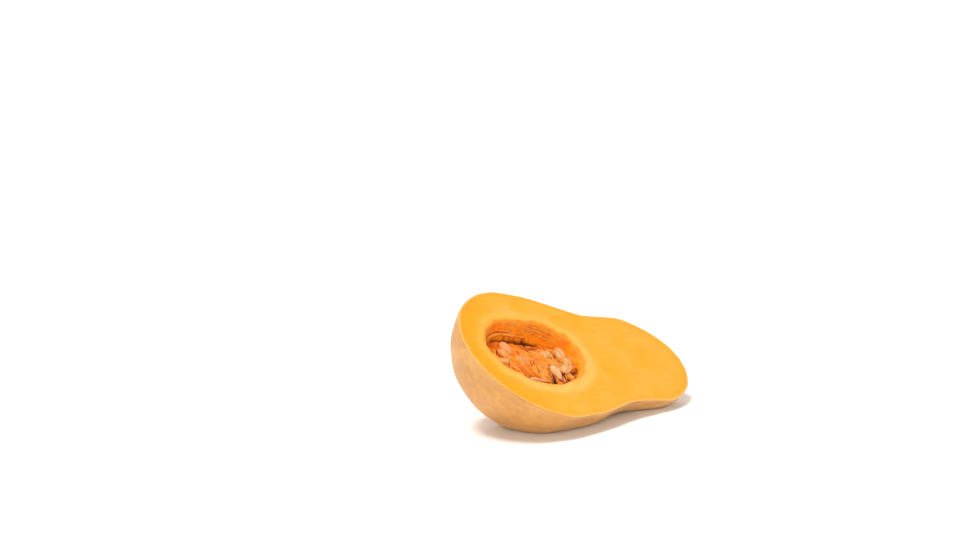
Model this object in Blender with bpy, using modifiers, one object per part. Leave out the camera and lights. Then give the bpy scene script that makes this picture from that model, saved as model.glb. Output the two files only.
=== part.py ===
"""Half of a butternut squash, cut lengthwise, lying on its rind with its cut face up and to the side.

Metres, Z up, standing on z = 0 with the origin under the middle of its box. The long axis runs
along +X, from the bulb's blossom end to the neck's end, and the cut face looks up and towards -Y.
Every piece is modelled in the fruit's own frame: x along the axis from the blossom end, y across
the cut face, and z out of the cut face, which is the plane z = 0. One empty holds all the pieces
and tips them into place.
"""

import math
import random

import bmesh
import bpy
from mathutils import Euler, Matrix, Vector
from mathutils.bvhtree import BVHTree

# --- the fruit, along its axis ---
LENGTH = 0.240
BULB_RADIUS = 0.0622
BULB_CENTRE = 0.0651
BULB_REACH = 0.0980
BULB_POWER = 1.957
NECK_RADIUS_LOW = 0.0488
NECK_RADIUS_HIGH = 0.0449
NECK_CROWN = 0.0528
NECK_CROWN_POWER = 1.80
SWELL_BLEND = 6.3
NECK_BEND = 0.0026
PROFILE_POINTS = 42
ROUND_STEPS = 72

# --- the cut, and how the half lies ---
AXIS_OVER_CUT = 0.0050
ROLL = math.radians(39.0)
PITCH = math.radians(9.5)
GROUND_FLAT = 0.0050
FLAT_SOFTNESS = 0.0026
FLAT_TRIM = 0.0003

# --- the seed cavity ---
CAVITY_CENTRE = Vector((0.0728, 0.0021, 0.002))
CAVITY_HALF = Vector((0.0475, 0.0330, 0.0300))
CAVITY_TAPER = 0.10
CAVITY_SEGMENTS = 36
CAVITY_RINGS = 20
PIECE_GAP = 0.0004

# --- the pulp, full on the near side of the cavity and sunk on the far side ---
PULP_DROP_NEAR = 0.0040
PULP_DROP_FAR = 0.0165
PULP_SLOPE_POWER = 1.6
PULP_LUMP = 0.0007
PULP_GRID = 22
PULP_COVER_TOP = 0.060

# --- the seeds: each group is (share of the cavity along, share across, how many) ---
SEED_GROUPS = ((-0.62, -0.05, 3), (0.00, -0.45, 4), (0.52, -0.05, 6))
SEED_SPREAD = 0.30
SEED_LENGTH = 0.0150
SEED_WIDTH = 0.0082
SEED_THICKNESS = 0.0032
SEED_TAPER = 0.34
SEED_PROUD = 0.0014
SEED_UNDER_CUT = 0.0006
SEED_RANDOM = 33
SEED_TRIES = 4000

COLORS = {
    "rind": (0.66, 0.39, 0.17, 1.0),
    "flesh": (0.98, 0.48, 0.06, 1.0),
    "pulp": (0.80, 0.24, 0.02, 1.0),
    "seed": (0.89, 0.76, 0.55, 1.0),
}


def clear_scene():
    """Removes every object and collection that the scene starts with."""
    for obj in list(bpy.data.objects):
        bpy.data.objects.remove(obj, do_unlink=True)
    for collection in list(bpy.data.collections):
        bpy.data.collections.remove(collection)


def new_collection(name):
    """Returns a new collection linked to the scene."""
    collection = bpy.data.collections.new(name)
    bpy.context.scene.collection.children.link(collection)
    return collection


def new_material(name, roughness):
    """Returns a Principled material in the named colour."""
    material = bpy.data.materials.new(name)
    material.use_nodes = True
    shader = material.node_tree.nodes["Principled BSDF"]
    shader.inputs["Base Color"].default_value = COLORS[name]
    shader.inputs["Roughness"].default_value = roughness
    shader.inputs["Metallic"].default_value = 0.0
    material.diffuse_color = COLORS[name]
    return material


def add_object(name, mesh, collection, frame, pose=None):
    """Returns a new object that holds the mesh, in the collection and held by the frame."""
    obj = bpy.data.objects.new(name, mesh)
    collection.objects.link(obj)
    obj.parent = frame
    if pose is not None:
        obj.matrix_basis = pose
    return obj


def add_cutter(name, mesh, collection, frame, pose=None):
    """Returns a helper object that neither a render nor the solids show."""
    obj = add_object(name, mesh, collection, frame, pose)
    obj.hide_render = True
    obj.display_type = "WIRE"
    return obj


def cut_with(obj, cutter, name, solver="EXACT"):
    """Adds a Boolean difference of the cutter to the object."""
    boolean = obj.modifiers.new(name, "BOOLEAN")
    boolean.operation = "DIFFERENCE"
    boolean.solver = solver
    boolean.object = cutter


def smooth_mesh(shape, name):
    """Returns a mesh of the bmesh with round areas smooth and real edges sharp, and frees the bmesh."""
    mesh = bpy.data.meshes.new(name)
    shape.to_mesh(mesh)
    shape.free()
    mesh.shade_smooth()
    mesh.set_sharp_from_angle(angle=math.radians(35.0))
    return mesh


def outer_radius(x):
    """Returns the fruit's radius at a distance x from its blossom end."""
    if x < BULB_CENTRE:
        away = (BULB_CENTRE - x) / BULB_CENTRE
    else:
        away = (x - BULB_CENTRE) / BULB_REACH
    bulb = BULB_RADIUS * max(1.0 - min(away, 1.0) ** BULB_POWER, 0.0) ** (1.0 / BULB_POWER)
    neck = NECK_RADIUS_LOW + (NECK_RADIUS_HIGH - NECK_RADIUS_LOW) * x / LENGTH
    crown = min(max((x - (LENGTH - NECK_CROWN)) / NECK_CROWN, 0.0), 1.0)
    neck *= max(1.0 - crown**NECK_CROWN_POWER, 0.0) ** (1.0 / NECK_CROWN_POWER)
    start = min(max((x - 0.2 * BULB_CENTRE) / (0.8 * BULB_CENTRE), 0.0), 1.0)
    neck *= math.sqrt(start)
    return (bulb**SWELL_BLEND + neck**SWELL_BLEND) ** (1.0 / SWELL_BLEND)


def fruit_profile():
    """Returns (distance along the axis, radius) pairs from the neck's end to the blossom end."""
    pairs = []
    for i in range(PROFILE_POINTS):
        x = LENGTH * (0.5 + 0.5 * math.cos(math.pi * i / (PROFILE_POINTS - 1)))
        pairs.append((x, outer_radius(x)))
    return pairs


def turned_mesh(pairs):
    """Returns the closed mesh that the (height, radius) pairs sweep about the Z axis."""
    mesh = bpy.data.meshes.new("profile")
    verts = [(radius, 0.0, height) for height, radius in pairs]
    mesh.from_pydata(verts, [(i, i + 1) for i in range(len(verts) - 1)], [])
    guide = bpy.data.objects.new("profile", mesh)
    bpy.context.scene.collection.objects.link(guide)
    screw = guide.modifiers.new("turn", "SCREW")
    screw.steps = ROUND_STEPS
    screw.render_steps = ROUND_STEPS
    screw.use_merge_vertices = True
    screw.merge_threshold = 0.00005
    graph = bpy.context.evaluated_depsgraph_get()
    turned = bpy.data.meshes.new_from_object(guide.evaluated_get(graph))
    bpy.data.objects.remove(guide, do_unlink=True)
    bpy.data.meshes.remove(mesh)
    return turned


def neck_shift(x):
    """Returns how far the axis has bent sideways at a distance x from the blossom end."""
    along = max(x / LENGTH - 0.35, 0.0) / 0.65
    return NECK_BEND * along**2


def whole_fruit():
    """Returns a bmesh of the uncut fruit in its own frame, with its neck bent."""
    turned = turned_mesh(fruit_profile())
    body = bmesh.new()
    body.from_mesh(turned)
    bpy.data.meshes.remove(turned)
    bmesh.ops.remove_doubles(body, verts=body.verts, dist=0.00005)
    for vert in body.verts:
        across, out, along = vert.co
        vert.co = (along, neck_shift(along) - across, out + AXIS_OVER_CUT)
    bmesh.ops.recalc_face_normals(body, faces=body.faces)
    return body


def tipped():
    """Returns the rotation that lays the fruit's own frame down in the world."""
    return Euler((ROLL, PITCH, 0.0)).to_matrix().to_4x4()


def sink():
    """Returns how far the tipped fruit goes down, so that GROUND_FLAT of it is under the floor."""
    body = whole_fruit()
    turn = tipped()
    lowest = min((turn @ vert.co).z for vert in body.verts)
    body.free()
    return lowest + GROUND_FLAT


def soft_floor(z):
    """Returns a height eased onto a level just under the floor, so that the flat spot blends out."""
    if z <= -FLAT_SOFTNESS:
        return -FLAT_TRIM
    if z >= FLAT_SOFTNESS:
        return z
    eased = (z + FLAT_SOFTNESS) ** 2 / (4.0 * FLAT_SOFTNESS)
    return eased - FLAT_TRIM * (FLAT_SOFTNESS - z) / (2.0 * FLAT_SOFTNESS)


def cut_off(body, point, normal):
    """Cuts away what lies past the plane and closes the body with a flat face there."""
    geometry = body.verts[:] + body.edges[:] + body.faces[:]
    cut = bmesh.ops.bisect_plane(
        body, geom=geometry, dist=1e-7, plane_co=point, plane_no=normal, clear_outer=True
    )
    rim = [part for part in cut["geom_cut"] if isinstance(part, bmesh.types.BMEdge)]
    open_rim = [edge for edge in rim if edge.is_boundary]
    return bmesh.ops.edgeloop_fill(body, edges=open_rim)["faces"]


def squash_half_mesh(to_world):
    """Returns the half's mesh in its own frame, with its cut face and the flats that it lies on."""
    body = whole_fruit()
    to_fruit = to_world.inverted()
    for vert in body.verts:
        world = to_world @ vert.co
        world.z = soft_floor(world.z)
        vert.co = to_fruit @ world
    floor_point = to_fruit @ Vector((0.0, 0.0, 0.0))
    down = to_fruit.to_3x3() @ Vector((0.0, 0.0, -1.0))
    cut_off(body, floor_point, down)
    flesh_faces = cut_off(body, Vector((0.0, 0.0, 0.0)), Vector((0.0, 0.0, 1.0)))
    for face in flesh_faces:
        face.material_index = 1
    bmesh.ops.recalc_face_normals(body, faces=body.faces)
    return smooth_mesh(body, "squash_half")


def cavity_waver(angle):
    """Returns how far the cavity's outline strays from a plain oval at this angle, as a factor."""
    return 1.0 + 0.030 * math.sin(2.0 * angle + 0.6) + 0.028 * math.sin(3.0 * angle - 0.9)


def cavity_shape(shrink):
    """Returns a bmesh of the cavity's egg in the fruit's own frame, smaller all round by shrink."""
    half = CAVITY_HALF - Vector((shrink, shrink, shrink))
    shape = bmesh.new()
    bmesh.ops.create_uvsphere(
        shape, u_segments=CAVITY_SEGMENTS, v_segments=CAVITY_RINGS, radius=1.0
    )
    for vert in shape.verts:
        x, y, z = vert.co
        waver = cavity_waver(math.atan2(y, x))
        slim = 1.0 - CAVITY_TAPER * x
        vert.co = (half.x * x * waver, half.y * y * slim * waver, half.z * z * slim)
    bmesh.ops.translate(shape, vec=CAVITY_CENTRE, verts=shape.verts)
    return shape


def in_cavity(point, margin):
    """Returns True if the point is inside the cavity by at least about the margin."""
    half = CAVITY_HALF - Vector((margin, margin, margin))
    x, y, z = point - CAVITY_CENTRE
    slim = 1.0 - CAVITY_TAPER * max(-1.0, min(1.0, x / half.x))
    along = x / half.x
    across = y / (half.y * slim)
    deep = z / (half.z * slim)
    waver = cavity_waver(math.atan2(across, along))
    return (along**2 + across**2) / waver**2 + deep**2 < 1.0


def pulp_height(x, y):
    """Returns the height of the pulp's top: near the cut face at -y, sunk at +y, and lumpy."""
    across = (y - CAVITY_CENTRE.y) / CAVITY_HALF.y
    share = min(max(0.5 + 0.5 * across, 0.0), 1.0)
    drop = PULP_DROP_NEAR + (PULP_DROP_FAR - PULP_DROP_NEAR) * share**PULP_SLOPE_POWER
    lumps = math.sin(x * 620.0 + 1.1) * math.sin(y * 540.0 + 0.4)
    ridges = 0.6 * math.sin(x * 310.0 - y * 690.0)
    return PULP_LUMP * (lumps + ridges) - drop


def pulp_cover_shape():
    """Returns a bmesh of the block over the pulp, whose underside is the pulp's top surface."""
    shape = bmesh.new()
    bmesh.ops.create_grid(shape, x_segments=PULP_GRID, y_segments=PULP_GRID, size=1.0)
    reach = 1.25 * CAVITY_HALF
    for vert in shape.verts:
        x = CAVITY_CENTRE.x + reach.x * vert.co.x
        y = CAVITY_CENTRE.y + reach.y * vert.co.y
        vert.co = (x, y, pulp_height(x, y))
    raised = bmesh.ops.extrude_face_region(shape, geom=shape.faces[:])["geom"]
    for part in raised:
        if isinstance(part, bmesh.types.BMVert):
            part.co.z = PULP_COVER_TOP
    bmesh.ops.recalc_face_normals(shape, faces=shape.faces)
    return shape


def seed_shape(grow):
    """Returns a bmesh of a flat teardrop seed in its own xy plane, point at +x, larger by grow."""
    half = Vector((SEED_LENGTH, SEED_WIDTH, SEED_THICKNESS)) * 0.5 + Vector((grow, grow, grow))
    shape = bmesh.new()
    bmesh.ops.create_uvsphere(shape, u_segments=14, v_segments=8, radius=1.0)
    for vert in shape.verts:
        x, y, z = vert.co
        slim = 1.0 - SEED_TAPER * x - 0.18 * x * x
        vert.co = (half.x * x, half.y * y * slim, half.z * z * (1.0 - 0.25 * x))
    return shape


def trial_pose(rng, share_x, share_y):
    """Returns a random pose for a seed half sunk in the pulp near these shares of the cavity."""
    x = CAVITY_CENTRE.x + CAVITY_HALF.x * (share_x + rng.uniform(-1.0, 1.0) * SEED_SPREAD)
    y = CAVITY_CENTRE.y + CAVITY_HALF.y * (share_y + rng.uniform(-1.2, 1.2) * SEED_SPREAD)
    turn = Matrix.Rotation(rng.gauss(-0.6, 0.5), 4, "Z")
    lean = Matrix.Rotation(rng.uniform(-0.95, 0.45), 4, "X")
    tip = Matrix.Rotation(rng.uniform(-0.25, 0.25), 4, "Y")
    height = pulp_height(x, y) + rng.uniform(-0.3, 1.0) * SEED_PROUD
    return Matrix.Translation((x, y, height)) @ turn @ lean @ tip


def seed_poses():
    """Returns a matrix for each seed, none of them touching another, the wall or the cut plane."""
    rng = random.Random(SEED_RANDOM)
    poses = []
    taken = []
    for share_x, share_y, count in SEED_GROUPS:
        wanted = len(poses) + count
        for _ in range(SEED_TRIES):
            if len(poses) == wanted:
                break
            pose = trial_pose(rng, share_x, share_y)
            shape = seed_shape(2.0 * PIECE_GAP)
            shape.transform(pose)
            inside = all(in_cavity(vert.co, 2.0 * PIECE_GAP) for vert in shape.verts)
            highest = max(vert.co.z for vert in shape.verts)
            tree = BVHTree.FromBMesh(shape)
            shape.free()
            if not inside or highest > -SEED_UNDER_CUT:
                continue
            if any(tree.overlap(other) for other in taken):
                continue
            poses.append(pose)
            taken.append(tree)
    return poses


def centre_on_floor(frame, mesh, turn):
    """Moves the frame sideways so that the turned mesh's box stands centred on the origin."""
    points = [turn @ vert.co for vert in mesh.vertices]
    frame.location.x = -0.5 * (min(p.x for p in points) + max(p.x for p in points))
    frame.location.y = -0.5 * (min(p.y for p in points) + max(p.y for p in points))


def build():
    """Builds the half, its pulp and its seeds."""
    clear_scene()
    squash = new_collection("butternut_squash_half")
    cutters = new_collection("cutters")

    frame = bpy.data.objects.new("fruit_frame", None)
    squash.objects.link(frame)
    frame.rotation_euler = (ROLL, PITCH, 0.0)
    frame.location = (0.0, 0.0, -sink())
    to_world = Matrix.Translation(frame.location) @ tipped()

    half = add_object("squash_half", squash_half_mesh(to_world), squash, frame)
    centre_on_floor(frame, half.data, tipped())
    half.data.materials.append(new_material("rind", 0.5))
    half.data.materials.append(new_material("flesh", 0.45))
    cavity_mesh = smooth_mesh(cavity_shape(0.0), "cavity")
    cavity_mesh.materials.append(bpy.data.materials["flesh"])
    cut_with(half, add_cutter("cavity_cutter", cavity_mesh, cutters, frame), "seed cavity")

    pulp = add_object("pulp", smooth_mesh(cavity_shape(PIECE_GAP), "pulp"), squash, frame)
    pulp.data.materials.append(new_material("pulp", 0.5))
    cover = add_cutter("pulp_cover", smooth_mesh(pulp_cover_shape(), "cover"), cutters, frame)
    cut_with(pulp, cover, "open top", "MANIFOLD")

    seed_mesh = smooth_mesh(seed_shape(0.0), "seed")
    seed_mesh.materials.append(new_material("seed", 0.45))
    pocket_mesh = smooth_mesh(seed_shape(PIECE_GAP), "pocket")
    for number, pose in enumerate(seed_poses(), 1):
        name = f"seed_{number:02d}"
        add_object(name, seed_mesh, squash, frame, pose)
        pocket = add_cutter("pocket_" + name, pocket_mesh, cutters, frame, pose)
        cut_with(pulp, pocket, "pocket " + name, "MANIFOLD")


build()
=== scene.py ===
"""The looks of half a butternut squash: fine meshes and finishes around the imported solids.

Lengths are in metres. The fruit's own frame has x along the fruit from its blossom end, y across
the cut face and z out of the cut face, which is the plane z = 0. Resting turns it into the world.
"""

import logging
import math
from dataclasses import dataclass, field
from enum import Enum

import bpy
import numpy as np
from mathutils import Euler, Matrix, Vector
from mathutils.bvhtree import BVHTree


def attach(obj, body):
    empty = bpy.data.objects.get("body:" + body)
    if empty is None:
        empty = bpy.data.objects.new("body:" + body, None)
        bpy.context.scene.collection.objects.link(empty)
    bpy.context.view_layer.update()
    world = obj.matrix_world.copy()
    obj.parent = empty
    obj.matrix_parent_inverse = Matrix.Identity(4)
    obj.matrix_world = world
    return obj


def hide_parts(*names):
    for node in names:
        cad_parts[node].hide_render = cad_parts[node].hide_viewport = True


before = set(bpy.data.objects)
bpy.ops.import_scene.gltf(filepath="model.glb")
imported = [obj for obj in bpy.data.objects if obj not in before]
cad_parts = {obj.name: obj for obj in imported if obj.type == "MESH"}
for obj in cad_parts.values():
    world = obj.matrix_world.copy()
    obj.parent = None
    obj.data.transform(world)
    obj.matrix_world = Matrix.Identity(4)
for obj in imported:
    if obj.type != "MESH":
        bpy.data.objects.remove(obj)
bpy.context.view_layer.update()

LOG = logging.getLogger("squash_half")
MM = 0.001
BODY = "root"
# Most of a noise texture's values lie between these two.
TEXTURE_SPAN = (0.3, 0.7)


class MixSocket(Enum):
    """The sockets of a Mix node that blends colours."""

    FACTOR = 0
    FIRST = 6
    SECOND = 7
    RESULT = 2


class Region(Enum):
    """The material slots of the half, in order."""

    RIND = 0
    FLESH = 1
    HOLLOW = 2


def linear(colour: str) -> tuple[float, float, float, float]:
    """Turns an sRGB hex colour to a linear one.

    Args:
        colour: Six hex digits after a hash sign.

    Returns:
        Red, green and blue from 0 to 1, and an alpha of 1.
    """
    values = [int(colour[i : i + 2], 16) / 255.0 for i in (1, 3, 5)]
    turned = [v / 12.92 if v <= 0.04045 else ((v + 0.055) / 1.055) ** 2.4 for v in values]
    return (turned[0], turned[1], turned[2], 1.0)


def add_node(
    tree: bpy.types.NodeTree,
    kind: str,
    settings: dict | None = None,
    links: dict | None = None,
) -> bpy.types.Node:
    """Adds a node to a tree with its settings and links.

    Args:
        tree: The material's node tree.
        kind: The node's type name.
        settings: Values by the name or number of an input, or by the name of a property.
        links: Output sockets by the name or number of the input that each one feeds.

    Returns:
        The new node.
    """
    node = tree.nodes.new(kind)
    for key, value in (settings or {}).items():
        if isinstance(key, int) or key not in node.bl_rna.properties:
            node.inputs[key].default_value = value
        else:
            setattr(node, key, value)
    for key, source in (links or {}).items():
        tree.links.new(source, node.inputs[key])
    return node


def smooth_share(values: np.ndarray, low: float, high: float) -> np.ndarray:
    """Eases values from 0 at low to 1 at high.

    Args:
        values: The numbers to ease.
        low: Where the result leaves 0.
        high: Where the result reaches 1.

    Returns:
        An array of shares from 0 to 1.
    """
    share = np.clip((values - low) / (high - low), 0.0, 1.0)
    return share * share * (3.0 - 2.0 * share)


def hump(values: np.ndarray, middle: float, width: float) -> np.ndarray:
    """Returns a smooth hump at each value: 1 at the middle, and almost 0 two widths away."""
    return np.exp(-(((values - middle) / width) ** 2))


@dataclass(frozen=True)
class Fade:
    """An eased change from most, where a value is full, to least, where it is gone."""

    full: float
    gone: float
    most: float = 1.0
    least: float = 0.0

    def at(self, values: np.ndarray) -> np.ndarray:
        """Returns the share that is left at each value."""
        left = 1.0 - smooth_share(values, self.full, self.gone)
        return self.least + (self.most - self.least) * left


@dataclass(frozen=True)
class Ripple:
    """A smooth random relief made of sine waves, mostly between -height and height.

    wavelength is in metres, and stretch makes the relief longer along an axis. spread is the
    range of the waves' lengths, as shares of the wavelength.
    """

    wavelength: float
    seed: int
    stretch: tuple[float, float, float] = (1.0, 1.0, 1.0)
    height: float = 1.0
    waves: int = 16
    spread: tuple[float, float] = (0.7, 1.5)

    def at(self, points: np.ndarray) -> np.ndarray:
        """Reads the relief.

        Args:
            points: An array of points, one a row.

        Returns:
            The relief at each point.
        """
        rng = np.random.default_rng(self.seed)
        ways = rng.normal(size=(self.waves, 3))
        ways /= np.linalg.norm(ways, axis=1)[:, None]
        pitch = self.wavelength * rng.uniform(*self.spread, self.waves)
        phase = rng.uniform(0.0, 2.0 * math.pi, self.waves)
        waves = 2.0 * math.pi * ways / pitch[:, None] / np.array(self.stretch)
        level = np.sin(points @ waves.T + phase).sum(axis=1) / math.sqrt(self.waves)
        return self.height * level


def total(ripples: tuple[Ripple, ...], points: np.ndarray) -> np.ndarray:
    """Returns the sum of several reliefs at each point."""
    return np.sum([ripple.at(points) for ripple in ripples], axis=0)


@dataclass(frozen=True)
class Resting:
    """How the fruit's own frame lies in the world.

    flat_softness is the height over which a flat on the floor eases into the round, and
    flat_trim is how much height that takes off at the floor.
    """

    roll: float = math.radians(39.0)
    pitch: float = math.radians(9.5)
    place: tuple[float, float, float] = (-0.1182316, -0.0056160, 0.0670766)
    flat_softness: float = 2.6 * MM
    flat_trim: float = 0.3 * MM

    def turn(self) -> np.ndarray:
        """Works out how the fruit's frame is turned in the world.

        Returns:
            The rotation matrix: the roll about the fruit's axis first, then the pitch.
        """
        c, s = math.cos(self.roll), math.sin(self.roll)
        about_x = np.array([[1, 0, 0], [0, c, -s], [0, s, c]])
        c, s = math.cos(self.pitch), math.sin(self.pitch)
        about_y = np.array([[c, 0, s], [0, 1, 0], [-s, 0, c]])
        return about_y @ about_x

    def to_world(self, points: np.ndarray) -> np.ndarray:
        """Returns points of the fruit's frame in the world."""
        return points @ self.turn().T + np.array(self.place)

    def to_fruit(self, points: np.ndarray) -> np.ndarray:
        """Returns points of the world in the fruit's frame."""
        return (points - np.array(self.place)) @ self.turn()

    def settled(self, points: np.ndarray) -> np.ndarray:
        """Eases world points onto the floor where the fruit lies on it.

        Args:
            points: World points, one a row.

        Returns:
            The points, none of them under the floor.
        """
        z = points[:, 2]
        eased = (z + self.flat_softness) ** 2 / (4.0 * self.flat_softness)
        eased -= self.flat_trim * (self.flat_softness - z) / (2.0 * self.flat_softness)
        z = np.where(z <= -self.flat_softness, 0.0, np.where(z >= self.flat_softness, z, eased))
        return np.column_stack((points[:, :2], np.maximum(z, 0.0)))


@dataclass(frozen=True)
class FruitForm:
    """The fruit's outer form: a bulb and a neck that blend, turned about a bent axis."""

    length: float = 0.240
    bulb_radius: float = 0.0622
    bulb_centre: float = 0.0651
    bulb_reach: float = 0.0980
    bulb_power: float = 1.957
    neck_low: float = 0.0488
    neck_high: float = 0.0449
    crown: float = 0.0528
    crown_power: float = 1.80
    blend: float = 6.3
    neck_start: float = 0.2
    bend: float = 2.6 * MM
    bend_start: float = 0.35
    axis_over_cut: float = 5.0 * MM
    cut_margin: float = 0.03
    halvings: int = 50

    def radius(self, x: np.ndarray) -> np.ndarray:
        """Works out the fruit's outline.

        Args:
            x: Distances from the blossom end.

        Returns:
            The radius at each distance.
        """
        reach = np.where(x < self.bulb_centre, self.bulb_centre, self.bulb_reach)
        away = np.minimum(np.abs(x - self.bulb_centre) / reach, 1.0)
        bulb = self.bulb_radius * (1.0 - away**self.bulb_power) ** (1.0 / self.bulb_power)
        neck = self.neck_low + (self.neck_high - self.neck_low) * x / self.length
        end = np.clip((x - self.length + self.crown) / self.crown, 0.0, 1.0)
        neck = neck * (1.0 - end**self.crown_power) ** (1.0 / self.crown_power)
        start = (x / self.bulb_centre - self.neck_start) / (1.0 - self.neck_start)
        start = np.clip(start, 0.0, 1.0)
        neck = neck * np.sqrt(start)
        return (bulb**self.blend + neck**self.blend) ** (1.0 / self.blend)

    def sideways(self, x: np.ndarray) -> np.ndarray:
        """Returns how far the axis has bent sideways at each distance."""
        past = np.maximum(x / self.length - self.bend_start, 0.0) / (1.0 - self.bend_start)
        return self.bend * past**2

    def cut_span(self) -> tuple[float, float]:
        """Finds where the outline crosses the cut plane, by halving.

        Returns:
            Where along x the cut face starts and ends.
        """
        ends = []
        margin = self.cut_margin
        for inside, outside in ((margin, 0.0), (self.length - margin, self.length)):
            for _ in range(self.halvings):
                middle = 0.5 * (inside + outside)
                if self.radius(np.array([middle]))[0] > self.axis_over_cut:
                    inside = middle
                else:
                    outside = middle
            ends.append(inside)
        return ends[0], ends[1]


@dataclass(frozen=True)
class HollowForm:
    """The seed cavity: an egg that opens in the cut face.

    Each of the wavers makes it a little uneven all round: a share, how many times round, and
    where it starts.
    """

    centre: tuple[float, float, float] = (0.0728, 0.0021, 0.0020)
    half: tuple[float, float, float] = (0.0475, 0.0330, 0.0300)
    taper: float = 0.10
    wavers: tuple[tuple[float, float, float], ...] = ((0.030, 2.0, 0.6), (0.028, 3.0, -0.9))
    first_dip: float = 0.1
    deepest: float = 0.999
    rounds: int = 12

    def wall(self, angle: np.ndarray, dip: np.ndarray, inset: float = 0.0) -> np.ndarray:
        """Finds points on the cavity's wall.

        Args:
            angle: The angle round the opening, 0 towards the neck.
            dip: The angle under the opening's widest level, a quarter turn at the bottom.
            inset: How far inside the wall the points are.

        Returns:
            The points, one a row.
        """
        x = np.cos(dip) * np.cos(angle)
        y = np.cos(dip) * np.sin(angle)
        z = -np.sin(dip)
        waver = 1.0 + sum(size * np.sin(turns * angle + at) for size, turns, at in self.wavers)
        slim = 1.0 - self.taper * x
        half = np.array(self.half) - inset
        points = (half[0] * x * waver, half[1] * y * slim * waver, half[2] * z * slim)
        return np.column_stack(points) + np.array(self.centre)

    def dip_at(self, angle: np.ndarray, height: np.ndarray) -> np.ndarray:
        """Finds where the wall is at a height, by going round until it settles.

        Args:
            angle: The angles round the opening.
            height: The height at each angle.

        Returns:
            The dip at each angle.
        """
        dip = np.full_like(angle, self.first_dip)
        for _ in range(self.rounds):
            slim = 1.0 - self.taper * np.cos(dip) * np.cos(angle)
            level = (self.centre[2] - height) / (self.half[2] * slim)
            dip = np.arcsin(np.clip(level, 0.0, self.deepest))
        return dip


@dataclass
class MeshParts:
    """Vertices and faces that grow ring by ring into one closed mesh."""

    points: list[np.ndarray] = field(default_factory=list)
    faces: list[np.ndarray] = field(default_factory=list)
    slots: list[np.ndarray] = field(default_factory=list)
    count: int = 0

    def add_points(self, points: np.ndarray) -> np.ndarray:
        """Adds points.

        Args:
            points: The new points, one a row.

        Returns:
            Their numbers.
        """
        numbers = np.arange(self.count, self.count + len(points))
        self.points.append(points)
        self.count += len(points)
        return numbers

    def add_band(self, first: np.ndarray, second: np.ndarray, slot: int) -> None:
        """Joins two closed rings of equal length, or a ring and one point, with faces.

        Args:
            first: The point numbers of the outer ring, anticlockwise seen from outside.
            second: The point numbers of the inner ring, or the number of one point.
            slot: The material slot of the faces.
        """
        after = np.roll(first, -1)
        if len(second) == 1:
            tip = np.full_like(first, second[0])
            band = np.column_stack((first, after, tip, tip))
        else:
            band = np.column_stack((first, after, np.roll(second, -1), second))
        self.faces.append(band)
        self.slots.append(np.full(len(band), slot))

    def mesh(self, name: str) -> bpy.types.Mesh:
        """Makes the mesh.

        Args:
            name: The mesh's name.

        Returns:
            The mesh, shaded smooth, in the frame of its points.
        """
        points = np.concatenate(self.points)
        faces = np.concatenate(self.faces)
        rows = [row[:3] if row[2] == row[3] else row for row in faces.tolist()]
        mesh = bpy.data.meshes.new(name)
        mesh.from_pydata(points.tolist(), [], rows)
        mesh.polygons.foreach_set("material_index", np.concatenate(self.slots).astype(np.int32))
        mesh.polygons.foreach_set("use_smooth", np.ones(len(rows), bool))
        mesh.update()
        return mesh


def store(mesh: bpy.types.Mesh, name: str, values: np.ndarray) -> None:
    """Keeps one number for each vertex of a mesh, for a material to read.

    Args:
        mesh: The mesh.
        name: The attribute's name.
        values: One number a vertex.
    """
    attribute = mesh.attributes.new(name, "FLOAT", "POINT")
    attribute.data.foreach_set("value", values.astype(np.float32))


def keep_place(mesh: bpy.types.Mesh, points: np.ndarray) -> None:
    """Stores each vertex's place in the fruit's own frame, for the patterns to follow.

    Args:
        mesh: The mesh.
        points: The vertices in the fruit's frame.
    """
    attribute = mesh.attributes.new("fruit_place", "FLOAT_VECTOR", "POINT")
    attribute.data.foreach_set("vector", points.astype(np.float32).ravel())


def dressed(
    parts: MeshParts,
    name: str,
    resting: Resting,
    shares: dict[str, np.ndarray],
    *finishes: bpy.types.Material,
) -> bpy.types.Mesh:
    """Makes a mesh from parts in the fruit's frame and turns it into the world.

    Args:
        parts: The mesh's parts.
        name: The mesh's name.
        resting: How the fruit's frame lies.
        shares: One number a vertex, by the name that a finish reads it by.
        finishes: The materials, in the order of the parts' slots.

    Returns:
        The mesh.
    """
    points = np.concatenate(parts.points)
    mesh = parts.mesh(name)
    keep_place(mesh, points)
    for share, values in shares.items():
        store(mesh, share, values)
    mesh.vertices.foreach_set("co", resting.to_world(points).ravel())
    mesh.update()
    for finish in finishes:
        mesh.materials.append(finish)
    return mesh


def show(mesh: bpy.types.Mesh, slot: str, *replaced: str) -> bpy.types.Object:
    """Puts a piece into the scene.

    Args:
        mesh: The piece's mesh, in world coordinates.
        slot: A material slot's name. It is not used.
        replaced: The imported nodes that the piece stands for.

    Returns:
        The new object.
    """
    piece = bpy.data.objects.new(mesh.name, mesh)
    bpy.context.scene.collection.objects.link(piece)
    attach(piece, BODY)
    if replaced:
        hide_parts(*replaced)
    LOG.info("%s: %d faces", piece.name, len(mesh.polygons))
    return piece


class Grain(Enum):
    """The textures that a pattern can be made of: a node, and the output that is read."""

    NOISE = ("ShaderNodeTexNoise", "Fac")
    CELLS = ("ShaderNodeTexVoronoi", "Distance")


@dataclass(frozen=True)
class Wash:
    """A colour laid on where a share kept on the mesh says."""

    colour: str
    share: str


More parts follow.
